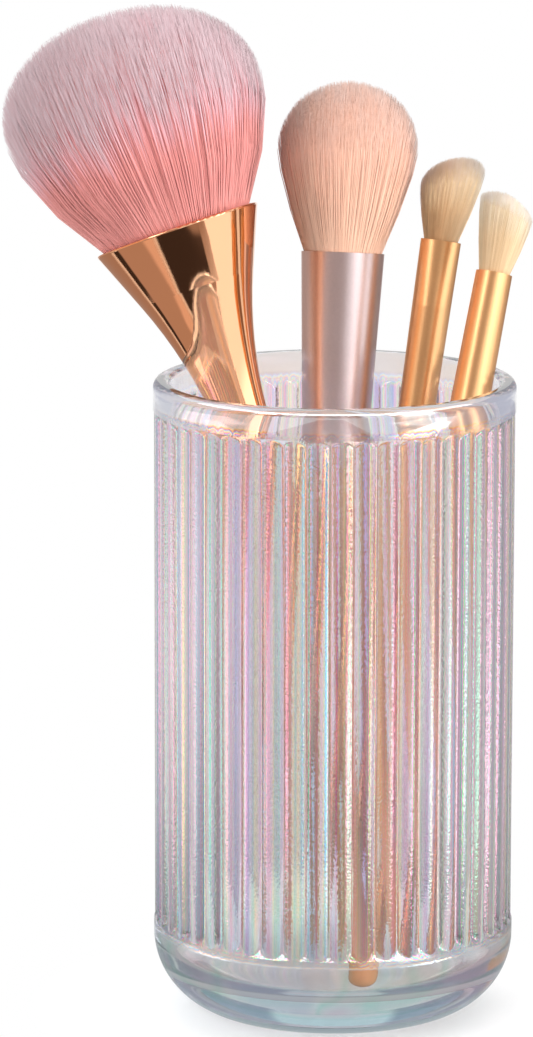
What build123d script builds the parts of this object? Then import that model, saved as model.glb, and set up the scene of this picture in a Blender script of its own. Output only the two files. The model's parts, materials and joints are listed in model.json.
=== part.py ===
"""Ribbed glass tumbler that holds make-up brushes, with the four brushes that stand in it.

Millimetres. The origin is the centre of the glass's flat underside, +Z is up, and -Y is the front.
Each brush leans in the glass, with its foot just clear of the floor and its side just clear of the rim.
"""
from build123d import *
import os
from math import atan, cos, pi, radians, sin, sqrt

# Glass tumbler
outer_dia = 75.0
height = 133.4
rim_wall = 3.7
rim_round = 1.6
floor_thickness = 10.0
floor_corner = 6.0
base_corner = 16.3
rib_count = 48
rib_depth = 1.1
rib_turn = 2.4
crest_inset = 0.2
groove_low = 18.9
rim_band = 6.2
low_runout = 2.4
high_runout = 1.9

# Clearances
seat_gap = 0.3
lean_gap = 0.3
glue_gap = 0.1
lift_room = 4.0

# Powder brush: one flared, plated handle with the tuft glued into its mouth
powder_foot = (20.8, -9.0)
powder_rim_angle = 153.2
powder_length = 161.8
powder_mouth_dia = 35.5
powder_neck_dia = 10.6
powder_end_dia = 10.0
powder_end_round = 3.0
powder_flare_height = 30.2
powder_flare_blend = 94.1
powder_wall = 1.4
powder_lip = 0.4
powder_socket_depth = 20.0
powder_knot_depth = 12.0

# Blush brush
blush_foot = (-4.0, 5.5)
blush_rim_angle = 88.3
blush_length = 146.8
blush_mouth_dia = 17.5
blush_ferrule_length = 46.0
blush_ferrule_end_dia = 13.4
blush_belly_dia = 13.8
blush_waist_dia = 7.6
blush_end_dia = 6.0

# Angled shading brush, whose ferrule is flattened at the mouth
angled_foot = (1.0, 0.4)
angled_rim_angle = 50.7
angled_length = 151.5
angled_mouth_dia = 8.5
angled_mouth_thickness = 6.4
angled_ferrule_length = 44.0
angled_ferrule_end_dia = 7.5
angled_belly_dia = 7.7
angled_waist_dia = 5.4
angled_end_dia = 4.6

# Round blending brush
blending_foot = (5.4, -27.5)
blending_rim_angle = 8.9
blending_length = 150.7
blending_mouth_dia = 7.6
blending_ferrule_length = 38.0
blending_ferrule_end_dia = 8.2
blending_belly_dia = 8.4
blending_waist_dia = 5.6
blending_end_dia = 5.8

# Ferrules and handles of the three slim brushes
ferrule_wall = 0.5
ferrule_round_depth = 14.0
crimp_depth = 0.2
crimp_width = 1.2
crimp_inset = 4.0
crimp_pitch = 2.6
tenon_length = 14.0
belly_drop = 12.0
waist_rise = 42.0

# Bristles rise as strands from a slice of the resin that holds them
resin_slice = 1.6
resin_plug = 6.0
slim_knot_depth = 4.0
lip_gap = 0.2
strand_fill = 0.4
strand_swell = 0.72
strand_point = 0.3
golden_angle = 137.508

powder_strands = 190
powder_head_dia = 55.0
powder_widest_height = 26.5
powder_head_height = 46.6
powder_head_shift = -0.3
powder_dome_power = 2.2

blush_strands = 90
blush_head_dia = 29.4
blush_widest_height = 21.7
blush_head_height = 36.1

angled_strands = 40
angled_head_dia = 13.2
angled_head_thickness = 9.1
angled_widest_height = 13.1
angled_head_height = 17.9
angled_head_shift = 0.6
angled_slant = 0.3

blending_strands = 40
blending_head_dia = 11.6
blending_widest_height = 13.8
blending_head_height = 16.9
blending_slant = -0.28
blending_dome_power = 1.6
round_dome_power = 2.0

outer_radius = outer_dia / 2
bore_radius = outer_radius - rim_wall
crest_radius = outer_radius - crest_inset
valley_radius = crest_radius - rib_depth
cavity_height = height - floor_thickness
groove_high = height - rim_band


def lean_frame(foot, rim_angle, length, radius_at, end_dia, end_round):
    """Plane across a leaning brush at its foot, whose local Z runs up the brush.

    The brush's side rests lean_gap inside the rim at rim_angle, and the lowest point of its rounded
    end is seat_gap above the floor. radius_at gives its radius at a depth below its mouth.
    """
    angle = radians(rim_angle)
    half_width = 0.0
    for _ in range(4):
        reach = bore_radius - lean_gap - half_width
        run = Vector(reach * cos(angle) - foot[0], reach * sin(angle) - foot[1], cavity_height)
        up = run.normalized()
        half_width = radius_at(length - cavity_height / up.Z) / up.Z
    drop = end_round * (1 - up.Z) + (end_dia / 2 - end_round) * sqrt(1 - up.Z**2)
    start = Vector(foot[0], foot[1], floor_thickness) + up * ((seat_gap + drop) / up.Z)
    across = Vector(1, 0, 0) - up * up.X
    return Plane(origin=start, x_dir=across.normalized(), z_dir=up)


def side_plane(frame):
    """Plane through a brush's axis: local X is the radius, and local Y the height above the foot."""
    return Plane(origin=frame.origin, x_dir=frame.x_dir, z_dir=frame.y_dir * -1)


def sunflower(count):
    """Evenly spread places on a disc, as (share of its radius, angle)."""
    return [(sqrt((n + 0.5) / count), radians(n * golden_angle)) for n in range(count)]


def dome_height(share, widest, top, power):
    """Height of a tuft's rounded top over the mouth, at a share of its greatest radius."""
    return widest + (top - widest) * (1 - share**power) ** (1 / power)


def make_strand(frame, root, tip, thicknesses):
    """One strand of three flat sides between two points given in the brush's own frame."""
    start, end = frame.from_local_coords(Vector(*root)), frame.from_local_coords(Vector(*tip))
    run = end - start
    with BuildPart() as strand:
        for share, thickness in zip((0, strand_swell, 1), thicknesses):
            with BuildSketch(Plane(origin=start + run * share, x_dir=frame.x_dir, z_dir=run)):
                RegularPolygon(radius=thickness, side_count=3)
        loft(ruled=True)
    return strand.part


def make_strands(frame, length, depth, mouth, head, widest, top, count, power, slant=0.0, shift=0.0):
    """Strands that fan out from the resin, through the mouth's half-widths, to the tuft's dome.

    The dome can slant and stand to one side. A strand's thickness is in proportion to the tuft's
    width, so no two of them meet.
    """
    room = strand_fill * sqrt(pi / count)
    bore = [(m - lip_gap) / (1 + room) for m in mouth]
    root = [(b * (depth + widest) - h * depth) / widest for b, h in zip(bore, head)]
    swollen = [r + (h - r) * strand_swell for r, h in zip(root, head)]
    thicknesses = (room * min(root), room * min(swollen), room * min(root) * strand_point)
    strands = []
    for share, angle in sunflower(count):
        x, y = share * cos(angle), share * sin(angle)
        start = (root[0] * x - shift * depth / widest, root[1] * y, length - depth - resin_slice / 2)
        rise = dome_height(share, widest, top, power) + slant * head[0] * x
        end = (head[0] * x + shift, head[1] * y, length + rise)
        strands.append(make_strand(frame, start, end, thicknesses))
    return strands


def show_lift(name, frame):
    """Print the way a brush lifts out, and how far it goes before its foot clears the rim."""
    up = frame.z_dir
    travel = cavity_height / up.Z + lift_room
    print(f"{name} lift axis {up.X:.5f} {up.Y:.5f} {up.Z:.5f} travel {travel:.1f}")


def save(piece, label):
    piece.part.label = label
    export_step(piece.part, f"parts/{label}.step")


os.makedirs("parts", exist_ok=True)

# Glass tumbler: its ribs are left standing by grooves that run out in a slope at both ends
with BuildPart() as grooves:
    with BuildSketch(Plane.XZ):
        low_slope = low_runout / (outer_radius - valley_radius)
        high_slope = high_runout / (outer_radius - valley_radius)
        inner, outer = valley_radius - rib_depth, outer_radius + rib_depth
        with BuildLine():
            Polyline(
                (inner, groove_low + low_slope * (outer_radius - inner)),
                (outer, groove_low + low_slope * (outer_radius - outer)),
                (outer, groove_high - high_slope * (outer_radius - outer)),
                (inner, groove_high - high_slope * (outer_radius - inner)),
                close=True,
            )
        make_face()
    revolve(axis=Axis.Z)
    with BuildSketch(Plane.XY):
        half_pitch = 180 / rib_count
        with BuildLine():
            for rib in range(rib_count):
                middle = rib_turn + 2 * rib * half_pitch
                ThreePointArc(
                    Vector(valley_radius, 0).rotate(Axis.Z, middle - half_pitch),
                    Vector(crest_radius, 0).rotate(Axis.Z, middle),
                    Vector(valley_radius, 0).rotate(Axis.Z, middle + half_pitch),
                )
        make_face()
    extrude(amount=height, mode=Mode.SUBTRACT)

with BuildPart() as tumbler:
    with BuildSketch(Plane.XZ):
        with BuildLine():
            FilletPolyline(
                (0, 0),
                (outer_radius, 0),
                (outer_radius, height),
                (bore_radius, height),
                (bore_radius, floor_thickness),
                (0, floor_thickness),
                radius=(0, base_corner, rim_round, rim_round, floor_corner, 0),
                close=True,
            )
        make_face()
    revolve(axis=Axis.Z)
    add(grooves.part, mode=Mode.SUBTRACT)
save(tumbler, "tumbler")

# Powder brush
powder_slope = (powder_mouth_dia - powder_neck_dia) / 2 / powder_flare_height
powder_taper = (powder_neck_dia - powder_end_dia) / 2 / (powder_length - powder_flare_height)


def powder_cone(depth):
    """Outer radius of the handle's flare at a depth below the mouth."""
    return powder_mouth_dia / 2 - powder_slope * depth


def powder_radius(depth):
    """Outer radius of the handle, with the arc that blends its flare into its grip."""
    flare_turn, grip_turn = atan(powder_slope), atan(powder_taper)
    half_turn = (flare_turn - grip_turn) / 2
    reach = powder_flare_blend / cos(half_turn)
    along = depth - powder_flare_height - reach * sin(flare_turn - half_turn)
    middle = powder_neck_dia / 2 + reach * cos(flare_turn - half_turn)
    if along <= -powder_flare_blend * sin(flare_turn):
        return powder_cone(depth)
    if along >= -powder_flare_blend * sin(grip_turn):
        return powder_neck_dia / 2 - powder_taper * (depth - powder_flare_height)
    return middle - sqrt(powder_flare_blend**2 - along**2)


def powder_socket(depth):
    """Inner radius of the flared socket at a depth below the mouth."""
    return powder_cone(depth) - powder_wall


powder_frame = lean_frame(
    powder_foot, powder_rim_angle, powder_length, powder_radius, powder_end_dia, powder_end_round
)
powder_axis = Axis(powder_frame.origin, powder_frame.z_dir)
show_lift("powder", powder_frame)
with BuildPart() as powder_handle:
    with BuildSketch(side_plane(powder_frame)):
        with BuildLine():
            FilletPolyline(
                (0, 0),
                (powder_end_dia / 2, 0),
                (powder_neck_dia / 2, powder_length - powder_flare_height),
                (powder_mouth_dia / 2, powder_length),
                (powder_mouth_dia / 2 - powder_wall, powder_length),
                (powder_socket(powder_socket_depth), powder_length - powder_socket_depth),
                (0, powder_length - powder_socket_depth),
                radius=(0, powder_end_round, powder_flare_blend, powder_lip, powder_lip, 0, 0),
                close=True,
            )
        make_face()
    revolve(axis=powder_axis)
save(powder_handle, "powder_handle")

with BuildPart() as powder_resin_plug:
    with BuildSketch(side_plane(powder_frame)):
        plug_top = powder_knot_depth + resin_slice + glue_gap
        with BuildLine():
            Polyline(
                (0, powder_length - powder_socket_depth + glue_gap),
                (
                    powder_socket(powder_socket_depth) - glue_gap,
                    powder_length - powder_socket_depth + glue_gap,
                ),
                (powder_socket(plug_top) - glue_gap, powder_length - plug_top),
                (0, powder_length - plug_top),
                close=True,
            )
        make_face()
    revolve(axis=powder_axis)
save(powder_resin_plug, "powder_resin_plug")

powder_strand_set = make_strands(
    powder_frame,
    powder_length,
    powder_knot_depth,
    (powder_socket(0), powder_socket(0)),
    (powder_head_dia / 2, powder_head_dia / 2),
    powder_widest_height,
    powder_head_height,
    powder_strands,
    powder_dome_power,
    shift=powder_head_shift,
)
with BuildPart() as powder_bristles:
    with BuildSketch(side_plane(powder_frame)):
        slice_end = powder_knot_depth + resin_slice
        with BuildLine():
            Polyline(
                (0, powder_length - slice_end),
                (powder_socket(slice_end) - glue_gap, powder_length - slice_end),
                (powder_socket(powder_knot_depth) - glue_gap, powder_length - powder_knot_depth),
                (0, powder_length - powder_knot_depth),
                close=True,
            )
        make_face()
    revolve(axis=powder_axis)
    add(powder_strand_set)
save(powder_bristles, "powder_bristles")


def make_slim_brush(
    name, foot, rim_angle, length, mouth, ferrule_length, ferrule_end, belly, waist, end, tuft
):
    """Ferrule, handle, resin plug and bristles of one brush, from its sizes as diameters."""

    def ferrule_size(depth, inset=0.0):
        """Half-width and half-thickness of the ferrule at a depth below its mouth."""
        share = depth / ferrule_length
        half_width = (mouth[0] * (1 - share) + ferrule_end * share) / 2
        flatness = max(0.0, 1 - depth / ferrule_round_depth)
        return half_width - inset, half_width - (mouth[0] - mouth[1]) / 2 * flatness - inset

    frame = lean_frame(
        foot, rim_angle, length, lambda depth: ferrule_size(depth)[0], end, end / 2
    )
    axis = Axis(frame.origin, frame.z_dir)
    show_lift(name, frame)

    def across(depth):
        """Plane across the brush at a depth below the ferrule's mouth."""
        return Plane(frame.from_local_coords(Vector(0, 0, length - depth)), frame.x_dir, frame.z_dir)

    def ferrule_solid(depths, inset):
        """Solid that follows the ferrule's shape between depths below its mouth."""
        with BuildPart() as body:
            for depth in depths:
                with BuildSketch(across(depth)):
                    Ellipse(*ferrule_size(depth, inset))
            loft(ruled=True)
        return body.part

    bands = (0, ferrule_round_depth, ferrule_length)
    with BuildPart() as ferrule:
        add(ferrule_solid(bands, 0))
        add(ferrule_solid(bands, ferrule_wall), mode=Mode.SUBTRACT)
        with BuildSketch(side_plane(frame)):
            for ring in (0, 1):
                depth = ferrule_length - crimp_inset - ring * crimp_pitch
                with Locations((ferrule_size(depth)[0], length - depth)):
                    Ellipse(crimp_depth, crimp_width / 2)
        revolve(axis=axis, mode=Mode.SUBTRACT)
    save(ferrule, f"{name}_ferrule")

    shoulder = length - ferrule_length - glue_gap
    tenon_inset = ferrule_wall + glue_gap
    tenon_top = ferrule_length - tenon_length
    with BuildPart() as handle:
        with BuildSketch(side_plane(frame)):
            with BuildLine():
                tip = end / 2
                CenterArc((0, tip), tip, -90, 90)
                Spline(
                    (tip, tip),
                    (waist / 2, waist_rise),
                    (belly / 2, shoulder - belly_drop),
                    (ferrule_end / 2, shoulder),
                    tangents=((0, 1), (ferrule_end - belly, belly_drop)),
                )
                Polyline(
                    (ferrule_end / 2, shoulder),
                    (ferrule_size(ferrule_length, tenon_inset)[0], shoulder),
                    (ferrule_size(tenon_top, tenon_inset)[0], length - tenon_top),
                    (0, length - tenon_top),
                    (0, 0),
                )
            make_face()
        revolve(axis=axis)
    save(handle, f"{name}_handle")

    slice_end = slim_knot_depth + resin_slice
    with BuildPart() as plug:
        add(ferrule_solid((slice_end + glue_gap, slice_end + resin_plug), ferrule_wall + glue_gap))
    save(plug, f"{name}_resin_plug")

    strands = make_strands(frame, length, slim_knot_depth, ferrule_size(0, ferrule_wall), **tuft)
    with BuildPart() as bristles:
        add(ferrule_solid((slim_knot_depth, slice_end), ferrule_wall + glue_gap))
        add(strands)
    save(bristles, f"{name}_bristles")


make_slim_brush(
    "blush",
    blush_foot,
    blush_rim_angle,
    blush_length,
    (blush_mouth_dia, blush_mouth_dia),
    blush_ferrule_length,
    blush_ferrule_end_dia,
    blush_belly_dia,
    blush_waist_dia,
    blush_end_dia,
    dict(
        head=(blush_head_dia / 2, blush_head_dia / 2),
        widest=blush_widest_height,
        top=blush_head_height,
        count=blush_strands,
        power=round_dome_power,
    ),
)
make_slim_brush(
    "angled",
    angled_foot,
    angled_rim_angle,
    angled_length,
    (angled_mouth_dia, angled_mouth_thickness),
    angled_ferrule_length,
    angled_ferrule_end_dia,
    angled_belly_dia,
    angled_waist_dia,
    angled_end_dia,
    dict(
        head=(angled_head_dia / 2, angled_head_thickness / 2),
        widest=angled_widest_height,
        top=angled_head_height,
        count=angled_strands,
        power=round_dome_power,
        slant=angled_slant,
        shift=angled_head_shift,
    ),
)
make_slim_brush(
    "blending",
    blending_foot,
    blending_rim_angle,
    blending_length,
    (blending_mouth_dia, blending_mouth_dia),
    blending_ferrule_length,
    blending_ferrule_end_dia,
    blending_belly_dia,
    blending_waist_dia,
    blending_end_dia,
    dict(
        head=(blending_head_dia / 2, blending_head_dia / 2),
        widest=blending_widest_height,
        top=blending_head_height,
        count=blending_strands,
        power=blending_dome_power,
        slant=blending_slant,
    ),
)
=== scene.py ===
"""Ribbed glass tumbler with make-up brushes: the finishes, hair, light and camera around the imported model.

Metres, in the model's own frame: +Z is up, and the camera looks along +Y.
"""
import json
from math import cos, pi, radians, sin, sqrt

import bmesh
import bpy
import numpy as np
from mathutils import Matrix, Vector
from mathutils.kdtree import KDTree


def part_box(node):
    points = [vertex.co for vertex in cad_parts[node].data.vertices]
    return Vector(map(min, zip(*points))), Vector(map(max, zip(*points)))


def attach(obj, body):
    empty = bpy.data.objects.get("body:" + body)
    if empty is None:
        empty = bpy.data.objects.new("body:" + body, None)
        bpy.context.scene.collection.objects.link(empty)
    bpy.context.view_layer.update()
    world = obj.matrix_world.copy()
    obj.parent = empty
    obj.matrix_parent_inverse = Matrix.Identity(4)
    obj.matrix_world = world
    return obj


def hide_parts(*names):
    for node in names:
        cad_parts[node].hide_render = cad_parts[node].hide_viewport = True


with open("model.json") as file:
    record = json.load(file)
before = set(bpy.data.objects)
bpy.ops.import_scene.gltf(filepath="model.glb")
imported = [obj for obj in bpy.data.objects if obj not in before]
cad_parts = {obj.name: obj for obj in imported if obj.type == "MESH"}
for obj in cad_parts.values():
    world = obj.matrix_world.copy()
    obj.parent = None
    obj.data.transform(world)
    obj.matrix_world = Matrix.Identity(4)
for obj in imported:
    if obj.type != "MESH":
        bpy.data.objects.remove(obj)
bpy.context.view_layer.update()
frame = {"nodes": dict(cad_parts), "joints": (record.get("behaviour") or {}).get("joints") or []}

MM = 0.001

# Creases sharper than this stay sharp
smooth_angle = radians(32)

# Camera, fitted to the photograph's rim ellipse, ribs and base
camera_distance = 1160.8 * MM
camera_height = 337.4 * MM
camera_yaw = radians(0.693)
camera_pitch = radians(11.373)
camera_roll = radians(0.075)
camera_lens = 198.5

# Light's bounces, enough to cross the ribs, the brushes and the ribs behind them
glass_bounces = 32
metal_bounces = 12

# Tumbler, as modelled
tumbler_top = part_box("tumbler")[1]
outer_radius = tumbler_top.x
glass_height = tumbler_top.z
rim_wall = 3.7 * MM
bore_radius = outer_radius - rim_wall
rim_round = 1.6 * MM
floor_thickness = 10.0 * MM
floor_corner = 6.0 * MM
base_corner = 16.3 * MM
rib_count = 48
rib_depth = 1.1 * MM
rib_turn = radians(2.4)
crest_inset = 0.2 * MM
groove_low = 18.9 * MM
groove_high = 127.2 * MM
low_runout = 2.4 * MM
high_runout = 1.9 * MM
rib_facets = 12
runout_rings = 7
round_facets = 10

# Lustre on the glass, with the film's thickness in nanometres
stripe_scale = 11.0
film_scale = 30.0
film_start = 4.0
rib_film = 900.0
band_film = 50.0
cloud_scale = 50.0
peel_scale = 2000.0
peel_depth = 0.14 * MM
lustre_fade = 2.0 * MM

# Strands: where their four rings are, from foot to tip, and their thickness there
strand_steps = (0.0, 0.45, 0.8, 1.0)
strand_taper = (1.0, 1.0, 0.8, 0.2)
strand_sides = 3
golden_angle = radians(137.508)

# Floor, a little below the object; its shadow shows inside shadow_full and has gone at shadow_gone
floor_radius = 3.0
floor_drop = 0.3 * MM
shadow_full = 28.0 * MM
shadow_gone = 65.0 * MM


def link(piece):
    """Put a new object in the scene."""
    bpy.context.scene.collection.objects.link(piece)
    return piece


def piece_from(shape, name, material, body):
    """Object from a bmesh, with creases over smooth_angle left sharp, that rides on a body."""
    for face in shape.faces:
        face.smooth = True
    for edge in shape.edges:
        edge.smooth = not edge.is_manifold or edge.calc_face_angle() < smooth_angle
    mesh = bpy.data.meshes.new(name)
    shape.to_mesh(mesh)
    shape.free()
    mesh.materials.append(material)
    piece = link(bpy.data.objects.new(name, mesh))
    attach(piece, body)
    return piece


def spun(profile, steps, start=0.0):
    """Closed solid of revolution about Z from (radius, height) points that run from axis to axis."""
    shape = bmesh.new()
    turned = Matrix.Rotation(start, 4, "Z")
    points = [shape.verts.new(turned @ Vector((radius, 0, height))) for radius, height in profile]
    edges = [shape.edges.new(pair) for pair in zip(points, points[1:])]
    bmesh.ops.spin(
        shape, geom=points + edges, cent=(0, 0, 0), axis=(0, 0, 1), angle=2 * pi, steps=steps, use_merge=True
    )
    bmesh.ops.remove_doubles(shape, verts=shape.verts, dist=1e-7)
    bmesh.ops.recalc_face_normals(shape, faces=shape.faces)
    return shape


def arc(centre, radius, first, last, count):
    """Points of an arc in the (radius, height) plane, between two angles in degrees."""
    angles = [radians(first + (last - first) * n / count) for n in range(count + 1)]
    return [(centre[0] + radius * cos(a), centre[1] + radius * sin(a)) for a in angles]


# Node trees
class Nodes:
    """Short calls that build a material's node tree."""

    def __init__(self, name):
        self.material = bpy.data.materials.new(name)
        self.material.use_nodes = True
        self.tree = self.material.node_tree
        self.shader = self.tree.nodes["Principled BSDF"]
        self.output = self.tree.nodes["Material Output"]

    def add(self, kind, **settings):
        node = self.tree.nodes.new("ShaderNode" + kind)
        for key, value in settings.items():
            setattr(node, key, value)
        return node

    def join(self, source, target):
        self.tree.links.new(source, target)

    def math(self, operation, first, second=0.5):
        node = self.add("Math", operation=operation)
        for socket, value in zip(node.inputs, (first, second)):
            if isinstance(value, (int, float)):
                socket.default_value = value
            else:
                self.join(value, socket)
        return node.outputs[0]

    def ramp(self, factor, stops):
        node = self.add("ValToRGB")
        elements = node.color_ramp.elements
        while len(elements) < len(stops):
            elements.new(0.5)
        for element, (place, colour) in zip(elements, stops):
            element.position = place
            element.color = (*colour, 1)
        self.join(factor, node.inputs[0])
        return node.outputs[0]

    def noise(self, vector, scale, detail, distortion=0.0, **settings):
        node = self.add("TexNoise", **settings)
        node.inputs["Distortion"].default_value = distortion
        node.inputs["Scale"].default_value = scale
        node.inputs["Detail"].default_value = detail
        if vector is not None:
            self.join(vector, node.inputs["Vector"])
        return node

    def fade(self, value, start, end):
        """0 up to start and 1 from end on, smooth between; start may lie above end."""
        node = self.add("MapRange", interpolation_type="SMOOTHSTEP")
        node.inputs["From Min"].default_value = start
        node.inputs["From Max"].default_value = end
        self.join(value, node.inputs["Value"])
        return node.outputs[0]

    def mix(self, factor, first, second, blend="MIX"):
        node = self.add("Mix", data_type="RGBA", blend_type=blend)
        for socket, value in zip((node.inputs[0], node.inputs[6], node.inputs[7]), (factor, first, second)):
            if isinstance(value, (int, float)):
                socket.default_value = value
            elif isinstance(value, tuple):
                socket.default_value = (*value, 1)
            else:
                self.join(value, socket)
        return node.outputs[2]

    def set(self, **values):
        for name, value in values.items():
            self.shader.inputs[name.replace("_", " ")].default_value = value

    def bump(self, height, strength, distance):
        node = self.add("Bump")
        node.inputs["Strength"].default_value = strength
        node.inputs["Distance"].default_value = distance
        self.join(height, node.inputs["Height"])
        self.join(node.outputs[0], self.shader.inputs["Normal"])

    def object_place(self):
        return self.add("TexCoord").outputs["Object"]

    def paint(self, colour):
        self.join(colour, self.shader.inputs["Base Color"])


def srgb(red, green, blue):
    """Linear colour from 8-bit display values."""
    shares = [value / 255 for value in (red, green, blue)]
    return tuple(((s + 0.055) / 1.055) ** 2.4 if s > 0.04045 else s / 12.92 for s in shares)


def painted_sheen_stripes(nodes, turn):
    """Pale stripes that run up the ribs, by the angle round the tumbler: painted sheen, colour that stands in
    for the lustre's iridescent reflections.
    """
    stripes = nodes.noise(None, stripe_scale, 1.5, noise_dimensions="1D")
    nodes.join(turn, stripes.inputs["W"])
    # Painted sheen: pastel colours that stand in for the lustre's iridescent reflections
    painted_sheen_stops = (
        (0.28, srgb(170, 150, 220)),
        (0.36, srgb(226, 214, 240)),
        (0.42, srgb(160, 226, 206)),
        (0.47, srgb(255, 240, 180)),
        (0.51, srgb(232, 216, 232)),
        (0.56, srgb(248, 166, 200)),
        (0.63, srgb(222, 214, 242)),
        (0.72, srgb(158, 192, 228)),
    )
    return nodes.ramp(stripes.outputs["Fac"], painted_sheen_stops)


def base_pearl(nodes, place, z, outside):
    """Tint of the plain glass: faintly teal at the foot, with clouds of painted pearl sheen over the outside
    of the base.
    """
    tints = (
        (0.0, srgb(226, 236, 238)),
        (0.2, srgb(214, 246, 252)),
        (0.42, srgb(222, 246, 248)),
        (0.55, srgb(252, 244, 238)),
        (0.8, srgb(252, 246, 242)),
        (1.0, srgb(250, 248, 250)),
    )
    painted_sheen_clouds = (
        (0.32, srgb(226, 230, 246)),
        (0.44, srgb(250, 250, 252)),
        (0.52, srgb(206, 242, 230)),
        (0.6, srgb(250, 246, 248)),
        (0.7, srgb(250, 222, 236)),
    )
    plain = nodes.ramp(nodes.math("MULTIPLY", z, 1 / groove_low), tints)
    # Painted sheen: pearl clouds that stand in for the lustre's reflections on the base
    pearl = nodes.ramp(nodes.noise(place, cloud_scale, 1.0, distortion=0.6).outputs["Fac"], painted_sheen_clouds)
    low = nodes.fade(z, groove_low + 1 * MM, groove_low - 3 * MM)
    return nodes.mix(nodes.math("MULTIPLY", outside, low), plain, nodes.mix(1.0, plain, pearl, "MULTIPLY"))


def rib_film_thickness(nodes, turn, z, ribbed, outside):
    """Film that gives the lustre its colours: uneven round the ribs, thin and even on the rim band."""
    film = nodes.noise(None, film_scale, 1.0, noise_dimensions="1D")
    nodes.join(nodes.math("ADD", turn, film_start), film.inputs["W"])
    on_ribs = nodes.math("MULTIPLY", nodes.math("MULTIPLY", film.outputs["Fac"], rib_film), ribbed)
    band = nodes.math("MULTIPLY", outside, nodes.math("GREATER_THAN", z, groove_high))
    return nodes.math("ADD", on_ribs, nodes.math("MULTIPLY", band, band_film))


def lustre_glass():
    """Pressed glass with a pearl lustre: a thin film that colours its reflections, and pale colours painted
    up the outside of the ribs as painted sheen.
    """
    nodes = Nodes("lustre_glass")
    nodes.set(Roughness=0.0, IOR=1.5, Transmission_Weight=1.0, Thin_Film_IOR=2.4)
    place = nodes.object_place()
    split = nodes.add("SeparateXYZ")
    nodes.join(place, split.inputs[0])
    x, y, z = split.outputs
    turn = nodes.math("ARCTAN2", y, x)
    out = nodes.math("SQRT", nodes.math("ADD", nodes.math("MULTIPLY", x, x), nodes.math("MULTIPLY", y, y)))
    outside = nodes.math("GREATER_THAN", out, bore_radius + 1 * MM)
    above = nodes.fade(z, groove_low - lustre_fade, groove_low + lustre_fade)
    below = nodes.fade(z, groove_high + lustre_fade, groove_high - lustre_fade)
    ribbed = nodes.math("MULTIPLY", outside, nodes.math("MULTIPLY", above, below))
    # The ribs' pastel tint is painted sheen, in place of the lustre's iridescent reflections
    nodes.paint(nodes.mix(ribbed, base_pearl(nodes, place, z, outside), painted_sheen_stripes(nodes, turn)))
    film = rib_film_thickness(nodes, turn, z, ribbed, outside)
    nodes.join(film, nodes.shader.inputs["Thin Film Thickness"])
    peel = nodes.noise(place, peel_scale, 1.0)
    nodes.bump(nodes.math("MULTIPLY", peel.outputs["Fac"], ribbed), 0.5, peel_depth)
    body = nodes.add("VolumeAbsorption")
    body.inputs["Color"].default_value = (0.79, 0.815, 0.835, 1)
    body.inputs["Density"].default_value = 36.0
    nodes.join(body.outputs[0], nodes.output.inputs["Volume"])
    shadow = nodes.add("BsdfTransparent")
    shadow.inputs[0].default_value = (0.96, 0.95, 0.96, 1)
    path = nodes.add("LightPath")
    swap = nodes.add("MixShader")
    nodes.join(path.outputs["Is Shadow Ray"], swap.inputs[0])
    nodes.join(nodes.shader.outputs[0], swap.inputs[1])
    nodes.join(shadow.outputs[0], swap.inputs[2])
    nodes.join(swap.outputs[0], nodes.output.inputs[0])
    return nodes.material


def rib_radius(angle):
    """Outer radius of the ribbed wall at an angle: each rib is an arc from valley to valley."""
    crest = outer_radius - crest_inset
    valley = crest - rib_depth
    half_pitch = pi / rib_count
    centre = (crest**2 - valley**2) / (2 * (crest - valley * cos(half_pitch)))
    bend = crest - centre
    off = (angle - rib_turn + half_pitch) % (2 * half_pitch) - half_pitch
    return centre * cos(off) + sqrt(bend**2 - (centre * sin(off)) ** 2)


def make_tumbler(material):
    """The tumbler as one spun shell, whose wall is then drawn in between its ribs."""
    valley = outer_radius - crest_inset - rib_depth
    low_slope = low_runout / (outer_radius - valley)
    high_slope = high_runout / (outer_radius - valley)
    steps = [rib_radius(rib_turn + pi / rib_count * n / runout_rings) for n in range(runout_rings + 1)]
    profile = [(0, 0)]
    profile += arc((outer_radius - base_corner, base_corner), base_corner, -90, 0, round_facets * 2)
    profile += [(outer_radius, groove_low)]
    profile += [(outer_radius, groove_low + low_slope * (outer_radius - r)) for r in steps]
    profile += [(outer_radius, groove_high - high_slope * (outer_radius - r)) for r in reversed(steps)]
    profile += [(outer_radius, groove_high)]
    profile += arc((outer_radius - rim_round, glass_height - rim_round), rim_round, 0, 90, round_facets)
    profile += arc((bore_radius + rim_round, glass_height - rim_round), rim_round, 90, 180, round_facets)
    profile += arc(
        (bore_radius - floor_corner, floor_thickness + floor_corner), floor_corner, 0, -90, round_facets
    )
    profile += [(0, floor_thickness)]
    shape = spun(profile, rib_count * rib_facets, rib_turn + pi / rib_count)
    for vert in shape.verts:
        out = vert.co.xy.length
        z = vert.co.z
        if out > outer_radius - 1e-6 and groove_low < z < groove_high:
            slope_low = outer_radius - (z - groove_low) / low_slope
            slope_high = outer_radius - (groove_high - z) / high_slope
            wall = max(rib_radius(np.arctan2(vert.co.y, vert.co.x)), slope_low, slope_high)
            vert.co.xy *= wall / out
    tumbler = piece_from(shape, "ribbed_tumbler", material, "holder")
    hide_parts("tumbler")


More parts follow.
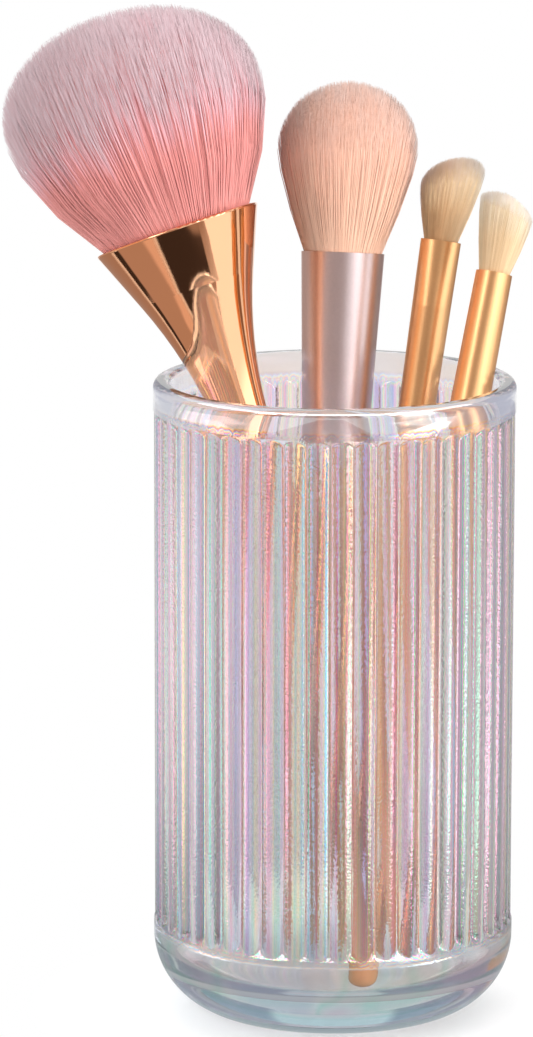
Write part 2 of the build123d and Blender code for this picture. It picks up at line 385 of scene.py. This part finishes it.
class Brush:
    """A brush's own frame: origin at its foot's centre, local Z up its axis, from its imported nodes."""

    def __init__(self, name, top_node):
        joint = next(j for j in frame["joints"] if j["child"] == name)
        self.body = name
        self.up = Vector(joint["axis"]).normalized()
        self.across = (Vector((1, 0, 0)) - self.up * self.up.x).normalized()
        self.side = self.up.cross(self.across)
        turn = Matrix((self.across, self.side, self.up))
        points = [turn @ v.co for v in frame["nodes"][top_node].data.vertices]
        middle = [(min(p[n] for p in points) + max(p[n] for p in points)) / 2 for n in (0, 1)]
        self.mouth = max(p.z for p in points)
        self.matrix = Matrix.Translation(turn.transposed() @ Vector((*middle, self.mouth)))
        self.matrix = self.matrix @ turn.transposed().to_4x4()


def dome(share, form):
    """Height of the tuft's rounded top over the mouth, at a share of its greatest radius."""
    rise = (1 - np.minimum(share, 1.0) ** form["power"]) ** (1 / form["power"])
    return form["widest"] + (form["top"] - form["widest"]) * rise


def fan(rise, form):
    """Share of the way from the mouth's radius to the tuft's, at a share of a strand's height.

    Below the mouth a strand runs straight on.
    """
    bow = form["bow"]
    return np.where(rise > 0, 1 - (1 - np.clip(rise, 0, 1)) ** bow, bow * rise)


def sunflower(count):
    """Evenly spread places on a disc of radius 1."""
    n = np.arange(count)
    share = np.sqrt((n + 0.5) / count)
    return np.stack((share * np.cos(n * golden_angle), share * np.sin(n * golden_angle)), axis=1)


def strand_colours(form, rng, place, clump):
    """How far each strand's dyes are moved along it, and its shade, which vary by clump and by strand. The
    shade also holds painted side light: one side of the tuft painted paler and the other darker.
    """
    count = len(place)
    shade = 0.5 + 0.25 * rng.uniform(-1, 1, form["clumps"])[clump] + 0.25 * rng.uniform(-1, 1, count)
    clump_along = rng.uniform(-1, 1, form["clumps"])[clump]
    # Broad locks all over the tuft, and finer ones side by side
    lock = np.sin(9 * place[:, 0] + 2) * np.sin(7 * place[:, 1] - 1)
    lock = lock + 0.6 * np.sin(23 * place[:, 0] + 3 * place[:, 1])
    offset = form["blend"] * (0.5 * clump_along + 0.3 * rng.uniform(-1, 1, count) + 0.3 * lock)
    offset = offset + form["sway"] * place[:, 0]
    # Painted side light and shade: the shade is shifted across the tuft, paler on one side and darker on the
    # other
    shade = (1 - abs(form["tone"])) * shade + max(form["tone"], 0) - form["painted_side_light"] * place[:, 0]
    return offset, shade.clip(0, 1)


def strand_set(form, seed):
    """Points of each strand in the brush's own frame, how far along each is, and each strand's shade."""
    rng = np.random.default_rng(seed)
    count = form["strands"]
    place = sunflower(count) + rng.normal(0, 0.4 / sqrt(count), (count, 2))
    place /= np.maximum(1, np.linalg.norm(place, axis=1))[:, None]
    centres = sunflower(form["clumps"])
    tree = KDTree(form["clumps"])
    for n, centre in enumerate(centres):
        tree.insert((*centre, 0), n)
    tree.balance()
    clump = np.array([tree.find((*at, 0))[1] for at in place])
    pull = form["pull"] * rng.uniform(0.3, 1.0, count)[:, None]
    tip = place + (centres[clump] - place) * pull + rng.normal(0, form["cross"], (count, 2))
    tip /= np.maximum(1, np.linalg.norm(tip, axis=1))[:, None]
    share = np.linalg.norm(place, axis=1)
    reach = dome(np.linalg.norm(tip, axis=1), form) + form["slant"] * form["head"][0] * tip[:, 0]
    clump_reach = rng.uniform(-1, 0, form["clumps"])[clump]
    reach *= 1 + form["ragged"] * (0.35 * clump_reach - 0.65 * rng.random(count) ** 3)
    low = np.where(share < form["hidden"], np.maximum(-form["buried"], reach - form["seen"]), -form["buried"])
    z = low[:, None] + (reach - low)[:, None] * np.array(strand_steps)
    rise = z / reach[:, None]
    spread = fan(rise, form)[:, :, None]
    mouth, head = np.array(form["mouth"]), np.array(form["head"])
    at = place[:, None] + (tip - place)[:, None] * np.clip(rise, 0, 1)[:, :, None] ** 2
    across = at * (mouth + (head - mouth) * spread) + np.array((form["shift"], 0)) * spread
    points = np.concatenate((across, z[:, :, None]), axis=2)
    offset, shade = strand_colours(form, rng, place, clump)
    along = rise + offset[:, None] * np.clip(rise, 0, 1)
    return points, along, shade


def swept_strands(name, points, thickness):
    """One mesh of closed strands, swept along their points by a curve's bevel."""
    section = bpy.data.curves.new(name + "_section", "CURVE")
    section.dimensions = "2D"
    ring = section.splines.new("POLY")
    ring.points.add(strand_sides - 1)
    for n, point in enumerate(ring.points):
        point.co = (cos(2 * pi * n / strand_sides), sin(2 * pi * n / strand_sides), 0, 1)
    ring.use_cyclic_u = True
    curve = bpy.data.curves.new(name + "_strands", "CURVE")
    curve.dimensions = "3D"
    curve.bevel_mode = "OBJECT"
    curve.bevel_object = link(bpy.data.objects.new(section.name, section))
    radii = np.array([thickness * width for width in strand_taper], dtype=np.float32)
    weights = np.ones((*points.shape[:2], 1))
    for strand in np.concatenate((points, weights), axis=2).astype(np.float32):
        spline = curve.splines.new("POLY")
        spline.points.add(len(strand_steps) - 1)
        spline.points.foreach_set("co", strand.ravel())
        spline.points.foreach_set("radius", radii)
    swept = link(bpy.data.objects.new(curve.name, curve))
    graph = bpy.context.evaluated_depsgraph_get()
    mesh = bpy.data.meshes.new_from_object(swept.evaluated_get(graph))
    mesh.name = name
    for made in (swept, curve.bevel_object):
        bpy.data.objects.remove(made)
    shape = bmesh.new()
    shape.from_mesh(mesh)
    ends = [edge for edge in shape.edges if edge.is_boundary]
    bmesh.ops.holes_fill(shape, edges=ends, sides=strand_sides)
    bmesh.ops.recalc_face_normals(shape, faces=shape.faces)
    shape.to_mesh(mesh)
    shape.free()
    return mesh


def soft_normals(mesh, form):
    """Vertex normals drawn from the strands' own towards those of the tuft as a whole."""
    place = np.empty(len(mesh.vertices) * 3)
    mesh.vertices.foreach_get("co", place)
    place = place.reshape(-1, 3)
    facing = np.array([v.normal for v in mesh.vertices])
    body = place - np.array((0, 0, 1)) * (np.minimum(place[:, 2], form["widest"]) * form["core"])[:, None]
    body /= np.linalg.norm(body, axis=1)[:, None]
    facing = facing * (1 - form["soft"]) + body * form["soft"]
    return facing / np.linalg.norm(facing, axis=1)[:, None]


def chart_strands(mesh, along, shade):
    """UV map with each strand's shade across and how far along the strand it is upwards.

    The corners of a strand lie a little apart on it, so that its faces can be baked.
    """
    fill, apart = 0.96, 0.01
    corner = np.empty(len(mesh.loops), dtype=int)
    mesh.loops.foreach_get("vertex_index", corner)
    side = np.tile(np.arange(strand_sides), along.size)[corner]
    across = np.repeat(shade, len(strand_steps) * strand_sides)[corner] * fill + apart * side
    upward = np.repeat(along.ravel(), strand_sides)[corner].clip(0, 1) * fill + apart * (side == 2)
    uv = mesh.uv_layers.new(name="OFBake")
    uv.data.foreach_set("uv", np.stack((across, upward), axis=1).ravel())


def make_tuft(name, brush, form, material, node=None, *, seed):
    """Hair as fine three-sided strands in one mesh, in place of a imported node's where one is named."""
    points, along, shade = strand_set(form, seed)
    mesh = swept_strands(name, points, form["thickness"])
    facing = soft_normals(mesh, form)
    chart_strands(mesh, along, shade)
    mesh.transform(brush.matrix)
    mesh.materials.clear()
    mesh.materials.append(material)
    mesh.polygons.foreach_set("use_smooth", [True] * len(mesh.polygons))
    turn = np.array(brush.matrix.to_3x3())
    mesh.normals_split_custom_set_from_vertices(facing @ turn.T)
    tuft = link(bpy.data.objects.new(name, mesh))
    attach(tuft, brush.body)
    if node:
        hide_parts(node)


def make_core(name, brush, form, material):
    """Closed core inside the strands, which are too few to hide what is behind them."""
    fill = form["core"]
    rings = 14
    steps = 64
    mouth, head = form["mouth"][0], form["head"][0]
    profile = [(0, 0)]
    for n in range(rings):
        rise = n / rings
        radius = fill * (mouth + (head - mouth) * float(fan(rise, form)))
        profile.append((radius, rise * form["widest"] * fill))
    for n in range(rings + 1):
        share = cos(pi / 2 * n / rings)
        profile.append((fill * head * share, fill * float(dome(share, form))))
    profile[-1] = (0, profile[-1][1])
    shape = spun(profile, steps)
    flat = form["head"][1] / head
    for vert in shape.verts:
        rise = min(1.0, vert.co.z / (fill * form["widest"]))
        vert.co.z += form["slant"] * vert.co.x * rise
        vert.co.x += form["shift"] * rise
    bmesh.ops.scale(shape, vec=(1, flat, 1), verts=shape.verts)
    bmesh.ops.transform(shape, matrix=brush.matrix, verts=shape.verts)
    core = piece_from(shape, name, material, brush.body)


def hair(name, stops, dark, depth):
    """Dyed hair: colour runs from root to tip, and strands differ in shade, down to depth towards dark."""
    nodes = Nodes(name)
    nodes.set(Roughness=0.6, Sheen_Weight=0.35, Sheen_Roughness=0.45, Specular_IOR_Level=0.2)
    chart = nodes.add("UVMap", uv_map="OFBake")
    split = nodes.add("SeparateXYZ")
    nodes.join(chart.outputs[0], split.inputs[0])
    colour = nodes.ramp(split.outputs[1], stops)
    nodes.paint(nodes.mix(nodes.math("MULTIPLY", split.outputs[0], depth), colour, dark))
    return nodes.material


def clouded(name, colour, share, scale, detail, **values):
    """Node tree of a finish whose colour drifts to a share of itself, and the noise it drifts by."""
    nodes = Nodes(name)
    nodes.set(**values)
    cloud = nodes.noise(nodes.object_place(), scale, detail).outputs["Fac"]
    other = tuple(min(1.0, c * share) for c in colour)
    nodes.paint(nodes.mix(cloud, colour, other))
    return nodes, cloud


def plain_core(name, colour):
    return clouded(name, colour, 0.8, 900.0, 2.0, Roughness=0.8)[0].material


def plating(name, colour):
    return clouded(name, colour, 0.93, 60.0, 3.0, Metallic=1.0, Roughness=0.05)[0].material


def satin(name, colour, roughness):
    """Anodised aluminium with a fine grain."""
    nodes, grain = clouded(name, colour, 1.12, 1800.0, 2.0, Metallic=1.0, Roughness=roughness)
    nodes.bump(grain, 0.05, 0.05 * MM)
    return nodes.material


def lacquer(name, colour):
    gloss = dict(Roughness=0.25, Coat_Weight=0.6, Coat_Roughness=0.08)
    return clouded(name, colour, 0.9, 40.0, 3.0, **gloss)[0].material


def resin(name, colour):
    return clouded(name, colour, 0.85, 300.0, 3.0, Roughness=0.3)[0].material


def dress(node, material):
    """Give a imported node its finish."""
    frame["nodes"][node].material_slots[0].material = material


# Stage
def make_world():
    """Even white surroundings."""
    world = bpy.data.worlds.new("studio")
    bpy.context.scene.world = world
    world.use_nodes = True
    background = world.node_tree.nodes["Background"]
    background.inputs["Color"].default_value = (1, 1, 1, 1)
    background.inputs["Strength"].default_value = 1.0


def make_floor():
    """Pale floor that keeps the object's shadow near it and turns plain white further out."""
    shape = bmesh.new()
    bmesh.ops.create_circle(shape, cap_ends=True, cap_tris=False, segments=64, radius=floor_radius)
    bmesh.ops.translate(shape, vec=(0, 0, -floor_drop), verts=shape.verts)
    mesh = bpy.data.meshes.new("floor")
    shape.to_mesh(mesh)
    shape.free()
    nodes = Nodes("pale_floor")
    nodes.set(Roughness=0.6)
    nodes.shader.inputs["Base Color"].default_value = (0.93, 0.93, 0.93, 1)
    glow = nodes.add("Emission")
    place = nodes.add("VectorMath", operation="LENGTH")
    nodes.join(nodes.object_place(), place.inputs[0])
    far = nodes.fade(place.outputs["Value"], shadow_full, shadow_gone)
    path = nodes.add("LightPath")
    seen = nodes.math("MAXIMUM", path.outputs["Is Camera Ray"], path.outputs["Is Transmission Ray"])
    seen = nodes.math("MAXIMUM", seen, path.outputs["Is Glossy Ray"])
    mix = nodes.add("MixShader")
    nodes.join(nodes.math("MULTIPLY", seen, far), mix.inputs[0])
    nodes.join(nodes.shader.outputs[0], mix.inputs[1])
    nodes.join(glow.outputs[0], mix.inputs[2])
    nodes.join(mix.outputs[0], nodes.output.inputs[0])
    mesh.materials.append(nodes.material)
    floor = link(bpy.data.objects.new("floor", mesh))


def make_card(name, centre, size, facing, strength, colour, soft, only):
    """Flat card that only reflections show, as they show a studio's softboxes and flags.

    It fades out towards its edges, over the soft share of its half-width and half-height. Glass alone
    is perfectly sharp here, so a card for glass shows to sharp rays, and one for metal to the others.
    """
    shape = bmesh.new()
    bmesh.ops.create_grid(shape, x_segments=1, y_segments=1, size=0.5)
    bmesh.ops.scale(shape, vec=(size[0], size[1], 1), verts=shape.verts)
    turn = (Vector(facing) - Vector(centre)).to_track_quat("Z", "Y").to_matrix().to_4x4()
    bmesh.ops.transform(shape, matrix=Matrix.Translation(centre) @ turn, verts=shape.verts)
    mesh = bpy.data.meshes.new(name)
    chart = shape.loops.layers.uv.verify()
    for face in shape.faces:
        for loop, corner in zip(face.loops, ((0, 0), (1, 0), (1, 1), (0, 1))):
            loop[chart].uv = corner
    shape.to_mesh(mesh)
    shape.free()
    nodes = Nodes(name)
    glow = nodes.add("Emission")
    glow.inputs["Color"].default_value = (*colour, 1)
    glow.inputs["Strength"].default_value = strength
    split = nodes.add("SeparateXYZ")
    nodes.join(nodes.add("UVMap", uv_map=mesh.uv_layers[0].name).outputs[0], split.inputs[0])
    path = nodes.add("LightPath").outputs
    shown = nodes.math("GREATER_THAN", path["Glossy Depth"], 0.5)
    shown = nodes.math("MULTIPLY", shown, nodes.math("LESS_THAN", path["Diffuse Depth"], 0.5))
    if only == "glass":
        shown = nodes.math("MULTIPLY", shown, path["Is Singular Ray"])
    if only == "metal":
        shown = nodes.math("MULTIPLY", shown, nodes.math("SUBTRACT", 1.0, path["Is Singular Ray"]))
    for across in split.outputs[:2]:
        off = nodes.math("ABSOLUTE", nodes.math("SUBTRACT", across, 0.5))
        shown = nodes.math("MULTIPLY", shown, nodes.fade(off, 0.5, 0.5 - 0.5 * soft))
    mix = nodes.add("MixShader")
    nodes.join(shown, mix.inputs[0])
    nodes.join(nodes.add("BsdfTransparent").outputs[0], mix.inputs[1])
    nodes.join(glow.outputs[0], mix.inputs[2])
    nodes.join(mix.outputs[0], nodes.output.inputs[0])
    mesh.materials.append(nodes.material)
    card = link(bpy.data.objects.new(name, mesh))
    card.visible_camera = False
    card.visible_diffuse = False
    card.visible_shadow = False


def standing_card(name, turn, distance, width, low, high, *looks):
    """Upright card that faces the object, at an angle to the right of the camera."""
    centre = (distance * sin(radians(turn)), -distance * cos(radians(turn)), (low + high) / 2)
    aim = (0, 0, centre[2])
    make_card(name, centre, (width, high - low), aim, *looks)


def lying_card(name, left, right, front, back, level, *looks):
    """Card flat over the table, at a height in mm that sets which card covers which."""
    centre = ((left + right) / 2, (front + back) / 2, level * MM)
    size = (right - left, back - front)
    make_card(name, centre, size, (centre[0], centre[1], 1), *looks)


def top_card(name, x, y, width, *looks):
    """Card over the object that is tilted to face its foot."""
    level, depth, foot = 0.46, 0.22, 20 * MM
    make_card(name, (x, y, level), (width, depth), (0, 0, foot), *looks)


def make_lamp(name, place, aim, size, power):
    data = bpy.data.lights.new(name, "AREA")
    data.shape = "RECTANGLE"
    data.size, data.size_y = size
    data.energy = power
    lamp = link(bpy.data.objects.new(name, data))
    lamp.location = place
    lamp.rotation_mode = "QUATERNION"
    lamp.rotation_quaternion = (Vector(aim) - Vector(place)).to_track_quat("-Z", "Y")
    lamp.visible_camera = False


def make_camera():
    data = bpy.data.cameras.new("camera")
    data.lens = camera_lens
    camera = link(bpy.data.objects.new("camera", data))
    camera.matrix_world = (
        Matrix.Translation((0, -camera_distance, camera_height))
        @ Matrix.Rotation(camera_yaw, 4, "Z")
        @ Matrix.Rotation(pi / 2 - camera_pitch, 4, "X")
        @ Matrix.Rotation(camera_roll, 4, "Z")
    )
    bpy.context.scene.camera = camera


make_tumbler(lustre_glass())

powder = Brush("powder_brush", "powder_handle")
blush = Brush("blush_brush", "blush_ferrule")
angled = Brush("angled_brush", "angled_ferrule")
blending = Brush("blending_brush", "blending_ferrule")

# Tufts. Counts are of strands and of the clumps that draw their tips in by pull; cross is how far tips
# stray and ragged how uneven they are. Strands start buried below the mouth, and those inside the hidden
# share of the radius only seen below their tips. Mouth and head are half-widths across and through the
# tuft, widest and top are heights over the mouth, power is the dome's squareness and bow how fast the
# tuft fans out. Soft is the tuft's share in the strands' normals and core the core's size. Blend and sway
# move the dyes along, and tone over 0 darkens and under 0 pales. Light sets painted side light and shade:
# over 0 it paints the right side paler and the left darker, under 0 the other way round.
shared_form = dict(hidden=0.6, core=0.9, blend=0.15, sway=0.0, painted_side_light=0.0)
powder_form = shared_form | dict(
    strands=9500, clumps=2600, pull=0.28, cross=0.012, ragged=0.07, buried=3 * MM, seen=18 * MM,
    mouth=(16.1 * MM, 16.1 * MM), head=(27.7 * MM, 27.7 * MM), widest=26.7 * MM, top=47.5 * MM,
    power=2.15, bow=1.6, shift=-0.31 * MM, slant=-0.02, thickness=0.085 * MM, soft=0.7,
    blend=0.24, sway=-0.03, tone=0.0,
)
blush_form = shared_form | dict(
    strands=9000, clumps=1400, pull=0.05, cross=0.01, ragged=0.06, buried=2 * MM, seen=14 * MM,
    mouth=(8.2 * MM, 8.2 * MM), head=(14.85 * MM, 14.85 * MM), widest=21.9 * MM, top=36.3 * MM,
    power=2.06, bow=1.31, shift=0.1 * MM, slant=0.02, thickness=0.08 * MM, soft=0.85,
    # Painted side light: the left side painted paler and the right darker
    core=0.925, sway=0.06, tone=0.0, painted_side_light=-0.4,
)
eye_form = shared_form | dict(
    strands=4500, clumps=500, pull=0.25, cross=0.01, ragged=0.05, buried=1 * MM, seen=6 * MM,
    thickness=0.04 * MM, soft=0.8,
)
angled_form = eye_form | dict(
    mouth=(3.55 * MM, 2.5 * MM), head=(6.65 * MM, 4.6 * MM), widest=13.1 * MM, top=17.9 * MM,
    power=2.1, bow=1.27, shift=0.6 * MM, slant=0.296, tone=0.7, painted_side_light=0.5,
# Painted side light: the right side painted paler and the left darker
)
blending_form = eye_form | dict(
    mouth=(3.2 * MM, 3.2 * MM), head=(5.85 * MM, 5.85 * MM), widest=13.8 * MM, top=16.9 * MM,
    # Painted side light: the right side painted a little paler
    power=1.55, bow=1.3, shift=0.05 * MM, slant=-0.28, tone=-0.5, painted_side_light=0.1,
)

coral_hair = hair(
    "coral_hair",
    (
        (0.0, srgb(242, 162, 154)),
        (0.52, srgb(244, 162, 156)),
        (0.66, srgb(240, 184, 192)),
        (0.8, srgb(215, 192, 198)),
        (1.0, srgb(227, 208, 214)),
    ),
    srgb(204, 102, 102),
    0.36,
)
peach_hair = hair(
    "peach_hair",
    (
        (0.0, srgb(254, 208, 180)),
        (0.6, srgb(254, 206, 180)),
        (0.88, srgb(246, 198, 178)),
        (1.0, srgb(238, 206, 194)),
    ),
    srgb(238, 168, 134),
    0.14,
)
cream_hair = hair(
    "cream_hair",
    (
        (0.0, srgb(246, 212, 168)),
        (0.5, srgb(250, 220, 178)),
        (0.8, srgb(252, 236, 206)),
        (1.0, srgb(254, 244, 234)),
    ),
    srgb(184, 118, 56),
    0.66,
)
make_tuft("powder_hair", powder, powder_form, coral_hair, "powder_bristles", seed=1)
make_tuft("powder_hair_inner", powder, powder_form, coral_hair, seed=2)
coral_core = plain_core("coral_core", srgb(236, 150, 150))
make_core("powder_hair_core", powder, powder_form, coral_core)
make_tuft("blush_hair", blush, blush_form, peach_hair, "blush_bristles", seed=3)
make_core("blush_hair_core", blush, blush_form, plain_core("peach_core", srgb(246, 190, 164)))
cream_core = plain_core("cream_core", srgb(240, 206, 160))
make_tuft("angled_hair", angled, angled_form, cream_hair, "angled_bristles", seed=4)
make_core("angled_hair_core", angled, angled_form, cream_core)
make_tuft("blending_hair", blending, blending_form, cream_hair, "blending_bristles", seed=5)
make_core("blending_hair_core", blending, blending_form, cream_core)

dress("powder_handle", plating("rose_gold_plating", (0.93, 0.49, 0.28)))
dress("blush_ferrule", satin("champagne_satin", srgb(210, 192, 192), 0.33))
gold = satin("gold_satin", srgb(230, 180, 128), 0.34)
dress("angled_ferrule", gold)
dress("blending_ferrule", gold)
dress("blush_handle", lacquer("dusty_rose_lacquer", srgb(206, 157, 124)))
tan = lacquer("tan_lacquer", srgb(204, 150, 102))
dress("angled_handle", tan)
dress("blending_handle", tan)
cast = resin("cast_resin", srgb(214, 198, 160))
for plug in ("powder_resin_plug", "blush_resin_plug", "angled_resin_plug", "blending_resin_plug"):
    dress(plug, cast)

make_world()
make_floor()
rim_centre = (0, 0, 0.14)
make_lamp("key_softbox", (0.9, -0.75, 0.85), rim_centre, (0.7, 0.7), 10.6)
make_lamp("fill_softbox", (-0.85, -0.66, 0.8), rim_centre, (0.6, 0.6), 4.8)
white = (1, 1, 1)
warm = (1.0, 0.76, 0.64)
peach = (1.0, 0.82, 0.74)
orange = (1.0, 0.62, 0.40)
pearl = (1.0, 0.84, 0.84)
lilac = (0.84, 0.86, 1.0)
ice = (0.92, 0.97, 1.0)

# Name, turn in degrees, distance, width, low, high, strength, colour, soft edge, what alone shows it
standing_cards = (
    ("key_card", 64, 0.42, 0.48, 0.14, 0.70, 2.3, white, 0.2, "metal"),
    ("key_card_right", 86, 0.40, 0.16, 0.16, 0.70, 4.6, white, 0.6, "metal"),
    ("key_card_low", 64, 0.43, 0.49, -0.10, 0.20, 1.45, white, 0.2, "metal"),
    ("front_wall", -8, 1.3, 1.25, 0.0, 1.6, 0.46, peach, 0.15, None),
    ("left_wall", -38, 1.25, 0.55, 0.0, 1.5, 0.32, warm, 0.15, None),
    ("left_glow", -81, 0.8, 0.95, 0.0, 0.7, 0.88, orange, 0.15, None),
    ("right_line", 99, 0.6, 0.08, 0.0, 0.5, 0.26, orange, 0.15, "metal"),
    ("right_line_far", 112, 0.6, 0.08, 0.0, 0.5, 0.30, orange, 0.15, "metal"),
    ("right_back_flag", 140, 0.5, 0.42, 0.0, 0.45, 0.32, warm, 0.15, "metal"),
    ("left_back_flag", -136, 0.5, 0.50, 0.0, 0.45, 0.56, warm, 0.15, "metal"),
    ("glass_key", 52, 0.5, 0.26, 0.0, 0.5, 3.0, white, 0.5, "glass"),
    ("glass_right_wall", 75, 0.7, 0.9, 0.0, 0.6, 0.60, lilac, 0.15, "glass"),
    ("glass_right_back", 138, 0.6, 0.7, 0.0, 0.5, 0.62, lilac, 0.15, "glass"),
    ("glass_left_back", -138, 0.6, 0.7, 0.0, 0.5, 0.62, lilac, 0.15, "glass"),
)
# Name, left, right, front, back, height in mm, and the rest as above
lying_cards = (
    ("front_table", -0.70, 0.70, -1.25, -0.22, 1.0, 0.40, warm, 0.15, "metal"),
    ("left_table", -0.55, -0.08, -0.45, 0.07, 1.6, 0.50, warm, 0.15, "metal"),
    ("left_back_table", -0.55, -0.08, 0.06, 0.50, 1.2, 0.42, warm, 0.15, "metal"),
    ("bright_patch", -0.155, -0.085, -0.19, -0.11, 2.0, 0.85, warm, 0.6, "metal"),
    ("dark_patch", -0.09, 0.25, -0.29, -0.05, 2.6, 0.05, warm, 0.08, "metal"),
    ("left_line", -0.205, -0.165, 0.015, 0.065, 2.2, 0.05, warm, 0.5, "metal"),
    ("glass_table", -1.0, 1.0, -1.2, 0.6, 0.9, 0.88, white, 0.15, "glass"),
    ("glass_front", -0.16, 0.10, -1.00, -0.06, 1.1, 0.55, pearl, 0.15, "glass"),
    ("glass_far_right", 0.10, 1.0, -0.05, 0.6, 1.2, 0.60, lilac, 0.15, "glass"),
    ("band_right", 0.24, 0.62, -0.46, -0.04, 1.3, 1.8, white, 0.4, "glass"),
    ("band_left", -0.62, -0.26, -0.26, 0.20, 1.4, 1.8, pearl, 0.4, "glass"),
    ("glass_near", -0.24, 0.24, -0.22, 0.18, 1.5, 0.52, ice, 0.7, "glass"),
    ("glass_right", 0.10, 0.42, -0.19, -0.07, 1.7, 3.6, white, 0.5, "glass"),
    ("glass_left", -0.42, -0.12, -0.11, 0.01, 1.8, 2.4, pearl, 0.5, "glass"),
)
# Name, across, along, width, and the rest as above
top_cards = (
    ("glass_top", 0.0, -0.42, 0.7, 3.6, white, 0.15, "glass"),
    ("glass_top_left", -0.45, -0.10, 0.5, 3.0, pearl, 0.15, "glass"),
    ("glass_top_right", 0.45, -0.10, 0.5, 3.0, pearl, 0.15, "glass"),
)
for card in standing_cards:
    standing_card(*card)
for card in lying_cards:
    lying_card(*card)
for card in top_cards:
    top_card(*card)
make_camera()

scene = bpy.context.scene
scene.view_settings.view_transform = "Standard"
scene.cycles.max_bounces = glass_bounces
scene.cycles.transmission_bounces = glass_bounces
scene.cycles.transparent_max_bounces = glass_bounces
scene.cycles.glossy_bounces = metal_bounces
